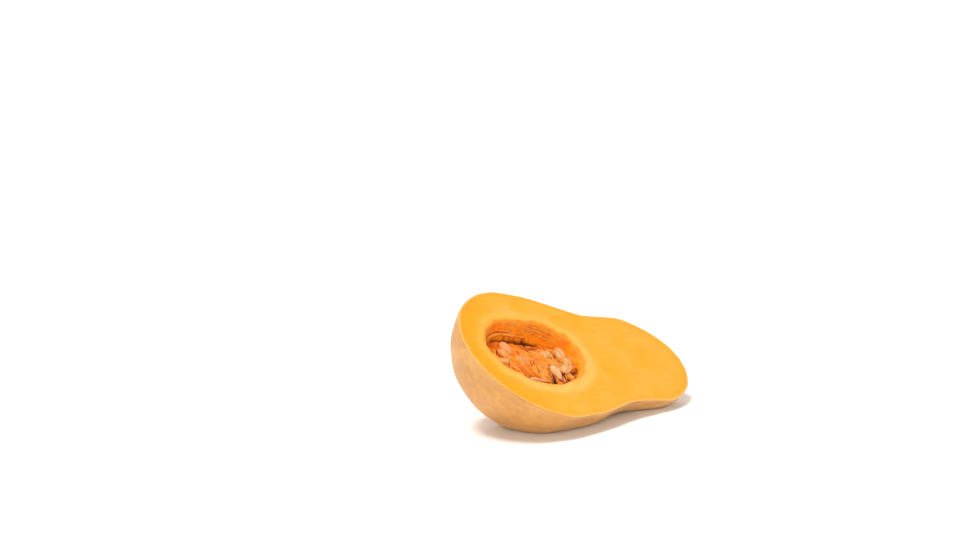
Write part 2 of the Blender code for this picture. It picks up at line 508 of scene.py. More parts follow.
@dataclass(frozen=True)
class Pattern:
    """A colour laid on by a texture, from none at low to most at high.

    size_mm is the size of the texture's features, and stretch draws them out along the fruit's
    axes. relief_mm is how far they raise the surface, and dulls is the roughness from their low
    parts to their high parts. detail and grit are the texture's own finer layers.
    """

    colour: str
    size_mm: float
    low: float
    high: float
    most: float = 1.0
    stretch: tuple[float, float, float] = (1.0, 1.0, 1.0)
    lean: float = 0.0
    relief_mm: float = 0.0
    dulls: tuple[float, float] | None = None
    grain: Grain = Grain.NOISE
    detail: float = 4.0
    grit: float = 0.6

    def scale(self) -> tuple[float, float, float]:
        """Returns how many features fit in a metre along each axis."""
        return tuple(1.0 / (self.size_mm * MM * draw) for draw in self.stretch)


@dataclass(frozen=True)
class Finish:
    """A natural surface: layers of colour and relief over a base, on one shader."""

    name: str = "plain"
    base: str = "#FFFFFF"
    layers: tuple[Pattern | Wash, ...] = ()
    ior: float = 1.45
    specular: float = 0.5
    roughness: float = 0.5
    scatter: float = 0.0
    scatter_reach: tuple[float, float, float] = (1.0, 0.5, 0.2)
    scatter_mm: float = 1.0
    coat: float = 0.0
    coat_roughness: float = 0.2

    def build(self) -> bpy.types.Material:
        """Builds the material, its layers from the bottom up.

        Returns:
            The material.
        """
        material = bpy.data.materials.new(self.name)
        material.use_nodes = True
        tree = material.node_tree
        tree.nodes.clear()
        place = add_node(tree, "ShaderNodeAttribute", {"attribute_name": "fruit_place"})
        links = {}
        for layer in self.layers:
            if isinstance(layer, Wash):
                share = add_node(tree, "ShaderNodeAttribute", {"attribute_name": layer.share})
                self.lay_on(tree, links, layer.colour, share.outputs["Fac"])
                continue
            kind, output = layer.grain.value
            turned = add_node(
                tree,
                "ShaderNodeMapping",
                {"Scale": layer.scale(), "Rotation": (0.0, 0.0, layer.lean)},
                {"Vector": place.outputs["Vector"]},
            )
            settings = {"Scale": 1.0, "Detail": layer.detail, "Roughness": layer.grit}
            texture = add_node(tree, kind, settings, {"Vector": turned.outputs["Vector"]})
            height = texture.outputs[output]
            steps = {"From Min": layer.low, "From Max": layer.high, "To Max": layer.most}
            share = add_node(tree, "ShaderNodeMapRange", steps, {"Value": height})
            self.lay_on(tree, links, layer.colour, share.outputs["Result"])
            if layer.relief_mm:
                under = {"Normal": links["Normal"]} if "Normal" in links else {}
                relief = {"Strength": 1.0, "Distance": layer.relief_mm * MM}
                bump = add_node(tree, "ShaderNodeBump", relief, {"Height": height, **under})
                links["Normal"] = bump.outputs["Normal"]
            if layer.dulls:
                ends = (*TEXTURE_SPAN, *layer.dulls)
                steps = dict(zip(("From Min", "From Max", "To Min", "To Max"), ends))
                dull = add_node(tree, "ShaderNodeMapRange", steps, {"Value": height})
                links["Roughness"] = dull.outputs["Result"]
        settings = {
            "Base Color": linear(self.base),
            "IOR": self.ior,
            "Specular IOR Level": self.specular,
            "Roughness": self.roughness,
            "Subsurface Weight": self.scatter,
            "Subsurface Radius": self.scatter_reach,
            "Subsurface Scale": self.scatter_mm * MM,
            "Coat Weight": self.coat,
            "Coat Roughness": self.coat_roughness,
        }
        shader = add_node(tree, "ShaderNodeBsdfPrincipled", settings, links)
        surface = {"Surface": shader.outputs["BSDF"]}
        add_node(tree, "ShaderNodeOutputMaterial", None, surface)
        return material

    def lay_on(
        self,
        tree: bpy.types.NodeTree,
        links: dict[str, bpy.types.NodeSocket],
        colour: str,
        share: bpy.types.NodeSocket,
    ) -> None:
        """Lays a colour over the colour so far.

        Args:
            tree: The material's node tree.
            links: The shader's links so far. Its colour is replaced.
            colour: The colour to lay on.
            share: How much of it shows.
        """
        settings = {"data_type": "RGBA", MixSocket.SECOND.value: linear(colour)}
        sources = {MixSocket.FACTOR.value: share}
        if "Base Color" in links:
            sources[MixSocket.FIRST.value] = links["Base Color"]
        else:
            settings[MixSocket.FIRST.value] = linear(self.base)
        mixed = add_node(tree, "ShaderNodeMix", settings, sources)
        links["Base Color"] = mixed.outputs[MixSocket.RESULT.value]


@dataclass(frozen=True)
class RindFinish(Finish):
    """Butternut rind: a thin hard skin under a natural wax bloom, grown and never polished.

    It gives the eye a warm tan with soft lengthwise streaks, fine pale pores, a corky scar at
    each end and a broad, dull shine. The pores are under 0.5 mm, so they are drawn coarser.
    """

    name: str = "waxy_grown_rind"
    base: str = "#C4894A"
    layers: tuple[Pattern | Wash, ...] = (
        Pattern(
            "#D39950", 5.0, 0.36, 0.66, stretch=(6.0, 1.0, 1.0), relief_mm=0.16, dulls=(0.42, 0.56)
        ),
        Pattern("#DEAA68", 28.0, 0.46, 0.72, 0.6),
        Pattern("#E9BC84", 1.6, 0.30, 0.10, 0.25, relief_mm=0.04, grain=Grain.CELLS),
        Wash("#EFBE80", "ground_share"),
        Wash("#A8763A", "cork_share"),
    )
    roughness: float = 0.46
    scatter: float = 0.12
    scatter_reach: tuple[float, float, float] = (1.0, 0.45, 0.20)
    scatter_mm: float = 2.0


@dataclass(frozen=True)
class FleshFinish(Finish):
    """Raw squash flesh, cut with a knife: firm, moist and slightly see-through.

    It gives the eye an even yellow orange with faint lengthwise fibres, a pale line under the
    rind, a paler ring round the seed cavity and a fine wet sparkle. Its cells are about 0.2 mm
    across, so they are drawn coarser.
    """

    name: str = "moist_cut_flesh"
    base: str = "#FDA41A"
    layers: tuple[Pattern | Wash, ...] = (
        Pattern("#FDAB3A", 30.0, 0.38, 0.62),
        Wash("#FC9C02", "rich_share"),
        Pattern("#E97C14", 0.9, 0.58, 0.80, 0.15, relief_mm=0.06, dulls=(0.30, 0.54)),
        Pattern("#E97C14", 2.2, 0.48, 0.70, 0.24, stretch=(10.0, 1.0, 1.0), relief_mm=0.14),
        Wash("#FEB95E", "ring_share"),
        Wash("#E97C14", "lip_share"),
        Wash("#F59C20", "under_rim_share"),
        Wash("#F8C486", "rim_share"),
    )
    ior: float = 1.38
    specular: float = 0.30
    roughness: float = 0.42
    scatter: float = 0.30
    scatter_reach: tuple[float, float, float] = (1.0, 0.50, 0.12)
    scatter_mm: float = 4.0
    coat: float = 0.03
    coat_roughness: float = 0.25


@dataclass(frozen=True)
class TornFinish(Finish):
    """Stringy tissue round squash seeds: soft and wet, torn when the fruit was cut.

    It gives the eye a deep orange with paler strings, painted red-brown shade in the hollows
    between them and small wet lights.
    """

    ior: float = 1.37
    specular: float = 0.30
    roughness: float = 0.38
    scatter: float = 0.35
    scatter_reach: tuple[float, float, float] = (1.0, 0.35, 0.08)
    scatter_mm: float = 3.0
    coat: float = 0.10
    coat_roughness: float = 0.12


@dataclass(frozen=True)
class WallFinish(TornFinish):
    """The bare side of the cavity, where the strings have pulled away from the flesh.

    It gives the eye a bright orange, pale under the lip and darkened by painted shade in the gap
    by the pulp, with strings that run round the cavity.
    """

    name: str = "torn_cavity_wall"
    base: str = "#FF8804"
    layers: tuple[Pattern | Wash, ...] = (
        Pattern("#FF9C14", 1.8, 0.50, 0.70, stretch=(5.0, 1.0, 1.0), relief_mm=0.4),
        Pattern("#F47602", 9.0, 0.52, 0.34, 0.8, dulls=(0.36, 0.60)),
        Wash("#F5A03C", "pale_share"),
        # Painted shade: dark red-brown deep in the cavity, in the gap by the pulp.
        Wash("#440D05", "dark_share"),
    )
    specular: float = 0.12
    scatter: float = 0.5
    coat: float = 0.03


@dataclass(frozen=True)
class PulpFinish(TornFinish):
    """The pulp itself, drawn into thick strands across the cavity."""

    name: str = "wet_torn_pulp"
    base: str = "#F47800"
    layers: tuple[Pattern | Wash, ...] = (
        Pattern("#F68C10", 1.8, 0.50, 0.70, stretch=(1.0, 7.0, 7.0), lean=-0.31, relief_mm=0.4),
        Pattern("#CC5200", 9.0, 0.52, 0.34, 0.8, dulls=(0.26, 0.52)),
        Wash("#F5A03C", "pale_share"),
        # Painted shade: dark red-brown in the slit, the moat, the pit and the grooves between
        # strands.
        Wash("#440D05", "dark_share"),
    )


@dataclass(frozen=True)
class StringFinish(TornFinish):
    """Loose strings of the pulp: thin, so they look paler than the pulp under them."""

    name: str = "wet_pulp_strings"
    base: str = "#F68208"
    layers: tuple[Pattern | Wash, ...] = (
        Pattern("#FBA848", 3.0, 0.42, 0.66, relief_mm=0.1),
        Pattern("#E67004", 9.0, 0.52, 0.34, 0.8, dulls=(0.26, 0.52)),
        Wash("#F5A03C", "pale_share"),
    )


@dataclass(frozen=True)
class SeedFinish(Finish):
    """Fresh squash seed: a woody hull in a wet, thin skin, stained by the juice.

    It gives the eye a cream white with a tan rim, orange stains and a wet shine. The hull's
    grain is about 0.2 mm wide, so it is drawn coarser.
    """

    name: str = "wet_seed_hull"
    base: str = "#E3BC8C"
    layers: tuple[Pattern | Wash, ...] = (
        Pattern("#D9AB7A", 0.7, 0.45, 0.65, 0.5, relief_mm=0.04),
        Wash("#D3935A", "rim_share"),
        Pattern("#E28434", 5.0, 0.46, 0.70, 0.85),
        Wash("#E28434", "soaked_share"),
    )
    roughness: float = 0.34
    scatter: float = 0.25
    scatter_reach: tuple[float, float, float] = (1.0, 0.6, 0.3)
    scatter_mm: float = 2.0
    coat: float = 0.3
    coat_roughness: float = 0.1


@dataclass(frozen=True)
class PaperFinish(Finish):
    """Matt white studio paper, pressed on rollers: a clean white with no shine.

    Its fibres are far too fine to show, so the pattern stands for its slight unevenness.
    """

    name: str = "matt_studio_paper"
    base: str = "#F9F9F7"
    layers: tuple[Pattern | Wash, ...] = (Pattern("#FCFCFA", 60.0, 0.40, 0.60),)
    roughness: float = 0.9


@dataclass(frozen=True)
class Scar:
    """A corky scar on the rind, where the stem or the blossom came away."""

    place: tuple[float, float, float]
    radius: float
    depth: float
    ring_width: float = 0.16
    rough_share: float = 0.4
    rough: Ripple = Ripple(2.6 * MM, 45)
    rough_fade: Fade = Fade(0.7, 1.0)
    edge: Ripple = Ripple(3.0 * MM, 46, height=0.06)
    cork_fade: Fade = Fade(0.85, 1.25, 0.75)

    def away(self, points: np.ndarray) -> np.ndarray:
        """Returns how far each point is from the scar's middle, in radii."""
        return np.linalg.norm(points - np.array(self.place), axis=1) / self.radius

    def relief(self, points: np.ndarray) -> np.ndarray:
        """Works out the scar's sunk ring and rough middle.

        Args:
            points: Points of the rind.

        Returns:
            The scar's height at each point.
        """
        away = self.away(points)
        rough = self.rough_share * self.depth * self.rough.at(points)
        return rough * self.rough_fade.at(away) - self.depth * hump(away, 1.0, self.ring_width)

    def tint(self, points: np.ndarray) -> np.ndarray:
        """Returns how corky each point is, as a share."""
        return self.cork_fade.at(self.away(points) + self.edge.at(points))


@dataclass
class SquashBody:
    """Rind and flesh, one grown piece: the turned outside, the cut face and the seed cavity.

    A tint's fade is in millimetres: from the edge that it is named for, from the blossom end for
    the rich flesh, over the floor for the ground spot, and under the cut face for the painted
    shade in the gap by the pulp and for the strings. wall_calm is a share of the way down the
    wall.
    """

    form: FruitForm
    hollow: HollowForm
    resting: Resting
    stations: int = 210
    arcs: int = 120
    face_rings: int = 62
    face_crowding: float = 0.11
    hollow_rings: int = 40
    steepest: float = 6.0
    rind_lumps: tuple[Ripple, ...] = (
        Ripple(42.0 * MM, 11, height=0.30 * MM),
        Ripple(15.0 * MM, 12, (2.0, 1.0, 1.0), 0.105 * MM),
    )
    furrow: float = 0.22 * MM
    furrow_middle: float = 0.25
    furrows: int = 10
    furrow_drift: tuple[float, float] = (3.0, 7.0)
    scars: tuple[Scar, ...] = (
        Scar((0.2400, 0.0026, 0.0050), 7.6 * MM, 0.50 * MM),
        Scar((0.0000, 0.0000, 0.0050), 3.6 * MM, 0.35 * MM),
    )
    lip_strays: tuple[Ripple, ...] = (
        Ripple(0.5, 21, height=0.7 * MM),
        Ripple(0.13, 22, height=0.22 * MM),
    )
    face_swells: tuple[Ripple, ...] = (
        Ripple(38.0 * MM, 31, height=0.10 * MM),
        Ripple(5.0 * MM, 32, (5.0, 1.0, 1.0), 0.05 * MM),
    )
    face_calm: float = 4.0 * MM
    rim_round: float = 0.35 * MM
    rim_width: float = 0.8 * MM
    ring_rise: float = 0.30 * MM
    ring_place: float = 5.0 * MM
    ring_width: float = 3.0 * MM
    lip_sag: float = 0.9 * MM
    lip_width: float = 1.0 * MM
    wall_lumps: tuple[Ripple, ...] = (
        Ripple(7.0 * MM, 41, height=0.45 * MM),
        Ripple(2.6 * MM, 42, (1.0, 3.0, 4.0), 0.30 * MM),
    )
    wall_calm: Fade = Fade(0.12, 0.0)
    waver: Ripple = Ripple(9.0 * MM, 51)
    drift: Ripple = Ripple(24.0 * MM, 52, height=1.3)
    rim_fade: Fade = Fade(0.6, 1.8, 0.6)
    under_rim_fade: Fade = Fade(2.0, 6.0, 0.5)
    ring_tint_place: float = 5.5
    ring_tint_width: float = 4.4
    ring_near_side: Fade = Fade(70.0, 10.0, 0.85, 0.40)
    lip_fade: Fade = Fade(0.3, 2.2, 0.8)
    rich_fade: Fade = Fade(15.0, 75.0, 0.8)
    ground_fade: Fade = Fade(1.0, 9.0, 0.55)
    # Painted shade on the wall deep in the cavity, in the gap by the pulp.
    gap_shade_fade: Fade = Fade(17.5, 13.5, 0.92)
    string_fade: Fade = Fade(0.5, 6.0, 0.8)

    def rind_points(self) -> np.ndarray:
        """Lays out the rind.

        Returns:
            The points as (station, arc, xyz). Both rims are on the cut plane.
        """
        start, end = self.form.cut_span()
        turn = np.linspace(0.0, math.pi, self.stations + 1)
        x = start + (end - start) * (0.5 - 0.5 * np.cos(turn))
        radius = np.maximum(self.form.radius(x), self.form.axis_over_cut)
        # A nanometre a station keeps the stations apart, so that no slope divides by zero.
        slope = np.gradient(radius, np.maximum.accumulate(x + 1e-9 * np.arange(len(x))))
        slope = np.clip(slope, -self.steepest, self.steepest)
        rim = np.arcsin(self.form.axis_over_cut / radius)
        share = np.linspace(0.0, 1.0, self.arcs + 1)
        angle = math.pi + rim[:, None] + (math.pi - 2.0 * rim)[:, None] * share[None, :]
        across, down = np.cos(angle), np.sin(angle)
        level = np.broadcast_to(x[:, None], angle.shape)
        points = np.stack(
            (
                level,
                self.form.sideways(level) + radius[:, None] * across,
                self.form.axis_over_cut + radius[:, None] * down,
            ),
            axis=-1,
        )
        steep = np.sqrt(1.0 + slope**2)[:, None]
        normal = np.stack(
            (np.broadcast_to(-slope[:, None], angle.shape) / steep, across / steep, down / steep),
            axis=-1,
        )
        flat = points.reshape(-1, 3)
        relief = total(self.rind_lumps, flat)
        near_end = np.abs(flat[:, 0] / self.form.length - 0.5) * 2.0
        size, turns = self.furrow_drift
        wave = np.cos(self.furrows * angle.ravel() + size * np.sin(turns * flat[:, 0]))
        depth = self.furrow_middle + (1.0 - self.furrow_middle) * near_end**2
        relief += self.furrow * depth * wave
        for scar in self.scars:
            relief += scar.relief(flat)
        points = points + normal * relief.reshape(angle.shape)[..., None]
        points[:, [0, -1], 2] = 0.0
        for edge in (0, -1):
            # Each end station closes to the one point midway between its two rims.
            points[edge, :, :] = points[edge, 0, :] * 0.5 + points[edge, -1, :] * 0.5
        return points

    def settle(self, points: np.ndarray) -> np.ndarray:
        """Returns points of the fruit's frame pressed flat where they meet the floor."""
        return self.resting.to_fruit(self.resting.settled(self.resting.to_world(points)))

    def ragged(self, angle: np.ndarray) -> np.ndarray:
        """Returns how far the torn lip of the cavity strays inwards, for each angle."""
        loop = np.column_stack((np.cos(angle), np.sin(angle), np.zeros_like(angle)))
        return total(self.lip_strays, loop)

    def hollow_angles(self, rim: np.ndarray) -> np.ndarray:
        """Returns the cavity's own angle that faces each point of the outer rim."""
        centre, half = self.hollow.centre, self.hollow.half
        return np.arctan2((rim[:, 1] - centre[1]) / half[1], (rim[:, 0] - centre[0]) / half[0])

    def build(self) -> bpy.types.Object:
        """Builds the piece.

        Returns:
            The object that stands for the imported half.
        """
        parts = MeshParts()
        rind = self.rind_points()
        last = self.stations
        body = rind[1:last].reshape(-1, 3)
        ends = np.stack((rind[0, 0], rind[last, 0]))
        grid = parts.add_points(self.settle(body)).reshape(last - 1, self.arcs + 1)
        first_end, last_end = parts.add_points(self.settle(ends))
        corner = (grid[:-1, :-1], grid[:-1, 1:], grid[1:, 1:], grid[1:, :-1])
        parts.faces.append(np.column_stack([c.ravel() for c in corner]))
        tip = np.full(self.arcs, first_end)
        parts.faces.append(np.column_stack((tip, grid[0, 1:], grid[0, :-1], grid[0, :-1])))
        tip = np.full(self.arcs, last_end)
        parts.faces.append(np.column_stack((grid[-1, :-1], grid[-1, 1:], tip, tip)))
        rind_faces = sum(len(block) for block in parts.faces)
        parts.slots.append(np.full(rind_faces, Region.RIND.value))

        loop = np.concatenate(([first_end], grid[:, 0], [last_end], grid[::-1, -1]))
        rim = np.concatenate(parts.points)[loop]
        angle = self.hollow_angles(rim)
        lip_dip = self.hollow.dip_at(angle, np.zeros_like(angle))
        lip = self.hollow.wall(angle, lip_dip)
        inward = np.array(self.hollow.centre)[:2] - lip[:, :2]
        inward /= np.linalg.norm(inward, axis=1)[:, None]
        lip[:, :2] += inward * self.ragged(angle)[:, None]

        ring = loop
        shares = np.linspace(0.0, 1.0, self.face_rings + 1)[1:]
        shares = shares - self.face_crowding * np.sin(2.0 * math.pi * shares)
        for share in shares:
            level = rim * (1.0 - share) + lip * share
            level[:, 2] = self.face_height(level, rim, lip)
            inner = parts.add_points(level)
            parts.add_band(ring, inner, Region.FLESH.value)
            ring = inner
        for step in np.linspace(0.0, 1.0, self.hollow_rings + 1)[1:-1]:
            dip = lip_dip + (0.5 * math.pi - lip_dip) * step
            level = self.hollow_relief(angle, dip, lip, step)
            inner = parts.add_points(level)
            parts.add_band(ring, inner, Region.HOLLOW.value)
            ring = inner
        bottom = self.hollow.wall(np.array([0.0]), np.array([0.5 * math.pi]))
        parts.add_band(ring, parts.add_points(bottom), Region.HOLLOW.value)

        finishes = [finish.build() for finish in (RindFinish(), FleshFinish(), WallFinish())]
        shares = self.tint_shares(np.concatenate(parts.points), rim, lip)
        mesh = dressed(parts, "squash_half_body", self.resting, shares, *finishes)
        return show(mesh, "rind", "squash_half")

    def face_height(self, points: np.ndarray, rim: np.ndarray, lip: np.ndarray) -> np.ndarray:
        """Works out the cut face's relief.

        Args:
            points: Points of the cut face.
            rim: The outer rim's points.
            lip: The cavity's rim points.

        Returns:
            The height of each point over the cut plane.
        """
        from_rim = nearest(points, rim)
        from_lip = nearest(points, lip)
        height = total(self.face_swells, points) * smooth_share(from_rim, 0.0, self.face_calm)
        height -= self.rim_round * (1.0 - smooth_share(from_rim, 0.0, self.rim_width))
        height += self.ring_rise * hump(from_lip, self.ring_place, self.ring_width)
        return height - self.lip_sag * hump(from_lip, 0.0, self.lip_width)

    def hollow_relief(
        self, angle: np.ndarray, dip: np.ndarray, lip: np.ndarray, step: float
    ) -> np.ndarray:
        """Lays out one ring of the cavity's wall.

        Args:
            angle: The angle of each point round the cavity.
            dip: The dip of each point.
            lip: The cavity's rim points, with their ragged edge.
            step: How far down the ring is, as a share.

        Returns:
            The ring's points.
        """
        wall = self.hollow.wall(angle, dip)
        plain = self.hollow.wall(angle, self.hollow.dip_at(angle, np.zeros_like(angle)))
        fade = (1.0 - step) ** 3
        wall[:, :2] += (lip[:, :2] - plain[:, :2]) * fade
        relief = total(self.wall_lumps, wall) * self.wall_calm.at(np.array(step))
        inward = np.array(self.hollow.centre) - wall
        inward /= np.linalg.norm(inward, axis=1)[:, None]
        return wall + inward * relief[:, None]

    def tint_shares(
        self, points: np.ndarray, rim: np.ndarray, lip: np.ndarray
    ) -> dict[str, np.ndarray]:
        """Works out where each tint of rind and flesh lies.

        Args:
            points: The half's vertices in the fruit's frame.
            rim: The outer rim's points.
            lip: The cavity's rim points.

        Returns:
            A share for each vertex, by the name that the finishes read it by.
        """
        from_rim = nearest(points, rim) / MM
        from_lip = nearest(points, lip) / MM
        waver = self.waver.at(points)
        ring = from_lip + 0.6 * waver + self.drift.at(points)
        ring = hump(ring, self.ring_tint_place, self.ring_tint_width)
        near_side = self.ring_near_side.at(0.5 * points[:, 0] / MM - points[:, 1] / MM)
        floor_height = self.resting.to_world(points)[:, 2] / MM
        depth = -points[:, 2] / MM
        return {
            "rim_share": self.rim_fade.at(from_rim + 0.25 * waver),
            "under_rim_share": self.under_rim_fade.at(from_rim + waver),
            "ring_share": ring * near_side,
            "lip_share": self.lip_fade.at(from_lip + 0.5 * waver),
            "rich_share": self.rich_fade.at(points[:, 0] / MM),
            "ground_share": self.ground_fade.at(floor_height + 1.5 * waver),
            "cork_share": np.max([scar.tint(points) for scar in self.scars], axis=0),
            # Painted shade: the wall darkens with depth, in the gap by the pulp.
            "dark_share": self.gap_shade_fade.at(depth + 0.8 * waver),
            "pale_share": self.string_fade.at(depth + 1.2 * waver),
        }


def nearest(points: np.ndarray, others: np.ndarray, most: int = 4000) -> np.ndarray:
    """Measures in the cut plane how near each point is to a set of points.

    Args:
        points: The points to measure from.
        others: The points to measure to.
        most: How many points are measured at once, to save memory.

    Returns:
        The shortest distance for each point.
    """
    found = np.empty(len(points))
    for start in range(0, len(points), most):
        block = points[start : start + most, None, :2] - others[None, :, :2]
        found[start : start + most] = np.sqrt((block**2).sum(axis=2).min(axis=1))
    return found


@dataclass
class SeedForm:
    """One seed: a flat teardrop with a raised rim.

    rim and rim_groove are each a height, a place and a width, as shares. The collar is the
    pulp round the seed: how slim it is, where it is highest and how soon it fades.
    """

    half: tuple[float, float, float] = (7.5 * MM, 4.1 * MM, 1.6 * MM)
    taper: float = 0.34
    round_off: float = 0.18
    thin: float = 0.25
    crown: float = 0.90
    fullness: float = 2.8
    rim: tuple[float, float, float] = (0.13, 0.88, 0.05)
    rim_groove: tuple[float, float, float] = (0.10, 0.76, 0.06)
    rim_tint: Fade = Fade(0.86, 0.70)
    collar: tuple[float, float, float] = (0.92, 1.15, 0.38)
    around: int = 56
    rings: int = 14

    def outline(self, angle: np.ndarray) -> np.ndarray:
        """Lays out the seed's outline.

        Args:
            angle: The angles to lay out, 0 at the seed's point.

        Returns:
            The points in the seed's own plane.
        """
        x, y = np.cos(angle), np.sin(angle)
        slim = 1.0 - self.taper * x - self.round_off * x * x
        return np.column_stack((self.half[0] * x, self.half[1] * y * slim))

    def thickness(self, reach: float) -> float:
        """Works out the seed's section.

        Args:
            reach: How far out from the middle, as a share.

        Returns:
            The half thickness there, as a share.
        """
        crown = self.crown * (1.0 - reach**self.fullness) ** 0.5
        lip = self.rim[0] * hump(reach, *self.rim[1:])
        return crown + lip - self.rim_groove[0] * hump(reach, *self.rim_groove[1:])

    def ring(self, angle: np.ndarray, reach: float, side: float) -> np.ndarray:
        """Lays out one ring of the seed's surface.

        Args:
            angle: The angles of the ring's points.
            reach: How far out the ring is, as a share.
            side: 1 for the upper surface and -1 for the lower one.

        Returns:
            The ring's points.
        """
        z = side * self.half[2] * self.thickness(reach)
        return np.column_stack(
            (self.outline(angle) * reach, z * (1.0 - self.thin * np.cos(angle) * reach))
        )

    def points(self) -> tuple[MeshParts, np.ndarray]:
        """Builds the seed in its own frame.

        Returns:
            The closed mesh's parts, and the share of rim tint for each vertex.
        """
        parts = MeshParts()
        angle = np.linspace(0.0, 2.0 * math.pi, self.around, endpoint=False)
        reaches = np.sin(np.linspace(0.0, 0.5 * math.pi, self.rings + 1))[1:-1]
        edge = parts.add_points(self.ring(angle, 1.0, 0.0))
        tints = [np.ones(self.around)]
        for side in (1.0, -1.0):
            ring = edge
            for reach in reaches[::-1]:
                inner = parts.add_points(self.ring(angle, reach, side))
                tints.append(np.full(self.around, self.rim_tint.at(np.array(reach))))
                pair = (ring, inner) if side > 0 else (ring[::-1], inner[::-1])
                parts.add_band(*pair, 0)
                ring = inner
            tip = parts.add_points(self.ring(np.zeros(1), 0.0, side))
            tints.append(np.zeros(1))
            parts.add_band(ring if side > 0 else ring[::-1], tip, 0)
        return parts, np.concatenate(tints)


@dataclass
class SeedPose:
    """Where one packed seed lies, read from its solid, in the fruit's frame."""

    node: str
    centre: np.ndarray
    axes: np.ndarray

    @classmethod
    def read(cls, node: str, resting: Resting) -> "SeedPose":
        """Finds a packed seed's pose.

        Args:
            node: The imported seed's name.
            resting: How the fruit's frame lies.

        Returns:
            The pose, with x towards the seed's point and z out of the cut face.
        """
        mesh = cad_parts[node].data
        flat = np.empty(len(mesh.vertices) * 3)
        mesh.vertices.foreach_get("co", flat)
        points = np.unique(resting.to_fruit(flat.reshape(-1, 3)).round(6), axis=0)
        middle = points.mean(axis=0)
        _, _, axes = np.linalg.svd(points - middle, full_matrices=False)
        local = (points - middle) @ axes.T
        front, back = local[local[:, 0] > 0], local[local[:, 0] < 0]
        if np.abs(front[:, 1]).max() > np.abs(back[:, 1]).max():
            axes[0] = -axes[0]
        if axes[2, 2] < 0:
            axes[2] = -axes[2]
        axes[1] = np.cross(axes[2], axes[0])
        local = (points - middle) @ axes.T
        middle = middle + (0.5 * (local.min(axis=0) + local.max(axis=0))) @ axes
        return cls(node, middle, axes)

    def place(self, points: np.ndarray) -> np.ndarray:
        """Returns points of the seed's frame in the fruit's frame."""
        return points @ self.axes + self.centre

    def beside(self, points: np.ndarray, form: SeedForm) -> np.ndarray:
        """Finds where pulp has built up against the seed's edge.

        Args:
            points: Points of the fruit's frame.
            form: The seed's form.

        Returns:
            A share for each point, 1 at the seed's outline and 0 some way off.
        """
        local = (points - self.centre) @ self.axes.T
        slim, place, width = form.collar
        away = np.hypot(local[:, 0] / form.half[0], local[:, 1] / (slim * form.half[1]))
        return hump(away, place, width)

    def under(self, points: np.ndarray, form: SeedForm, gap: float) -> np.ndarray:
        """Pushes points that are inside the seed down to just under it.

        Args:
            points: Points of the fruit's frame.
            form: The seed's form.
            gap: How far the pocket stands off the seed.

        Returns:
            The points, none of them inside the seed.
        """
        local = (points - self.centre) @ self.axes.T
        half = np.array(form.half) + gap
        x = local[:, 0] / half[0]
        slim = 1.0 - form.taper * x - form.round_off * x * x
        # Past the seed's point the outline's width runs out, so it is held above zero.
        y = local[:, 1] / (half[1] * np.maximum(slim, 0.05))
        spread = x**2 + y**2
        bottom = -half[2] * (1.0 - form.thin * x) * np.sqrt(np.clip(1.0 - spread, 0.0, 1.0))
        inside = (spread < 1.0) & (local[:, 2] > bottom)
        local[:, 2] = np.where(inside, bottom, local[:, 2])
        return self.place(local)


@dataclass
class Seeds:
    """The loose seeds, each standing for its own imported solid."""

    resting: Resting
    form: SeedForm = field(default_factory=SeedForm)
    soaked_place: tuple[float, float] = (0.062, 0.006)
    soaked_reach: float = 0.020
    soaked_most: float = 0.75
    warp_length: float = 9.0 * MM
    warp_height: float = 0.12 * MM
    first_warp: int = 60
    poses: list[SeedPose] = field(default_factory=list)

    def read(self) -> None:
        """Reads every packed seed's pose."""
        names = sorted(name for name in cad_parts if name.startswith("seed_"))
        self.poses = [SeedPose.read(name, self.resting) for name in names]

    def build(self) -> list[bpy.types.Object]:
        """Builds the seeds.

        Returns:
            One object a seed.
        """
        finish = SeedFinish().build()
        pieces = []
        for number, pose in enumerate(self.poses):
            parts, tints = self.form.points()
            local = np.concatenate(parts.points)
            warp = Ripple(self.warp_length, self.first_warp + number, height=self.warp_height)
            local[:, 2] += warp.at(local) * (1.0 - (local[:, 0] / self.form.half[0]) ** 2)
            parts.points = [pose.place(local)]
            away = (pose.centre[:2] - np.array(self.soaked_place)) / self.soaked_reach
            soaked = self.soaked_most * math.exp(-float(away @ away))
            shares = {"rim_share": tints, "soaked_share": np.full(len(local), soaked)}
            mesh = dressed(parts, "fresh_" + pose.node, self.resting, shares, finish)
            pieces.append(show(mesh, "seed", pose.node))
        return pieces


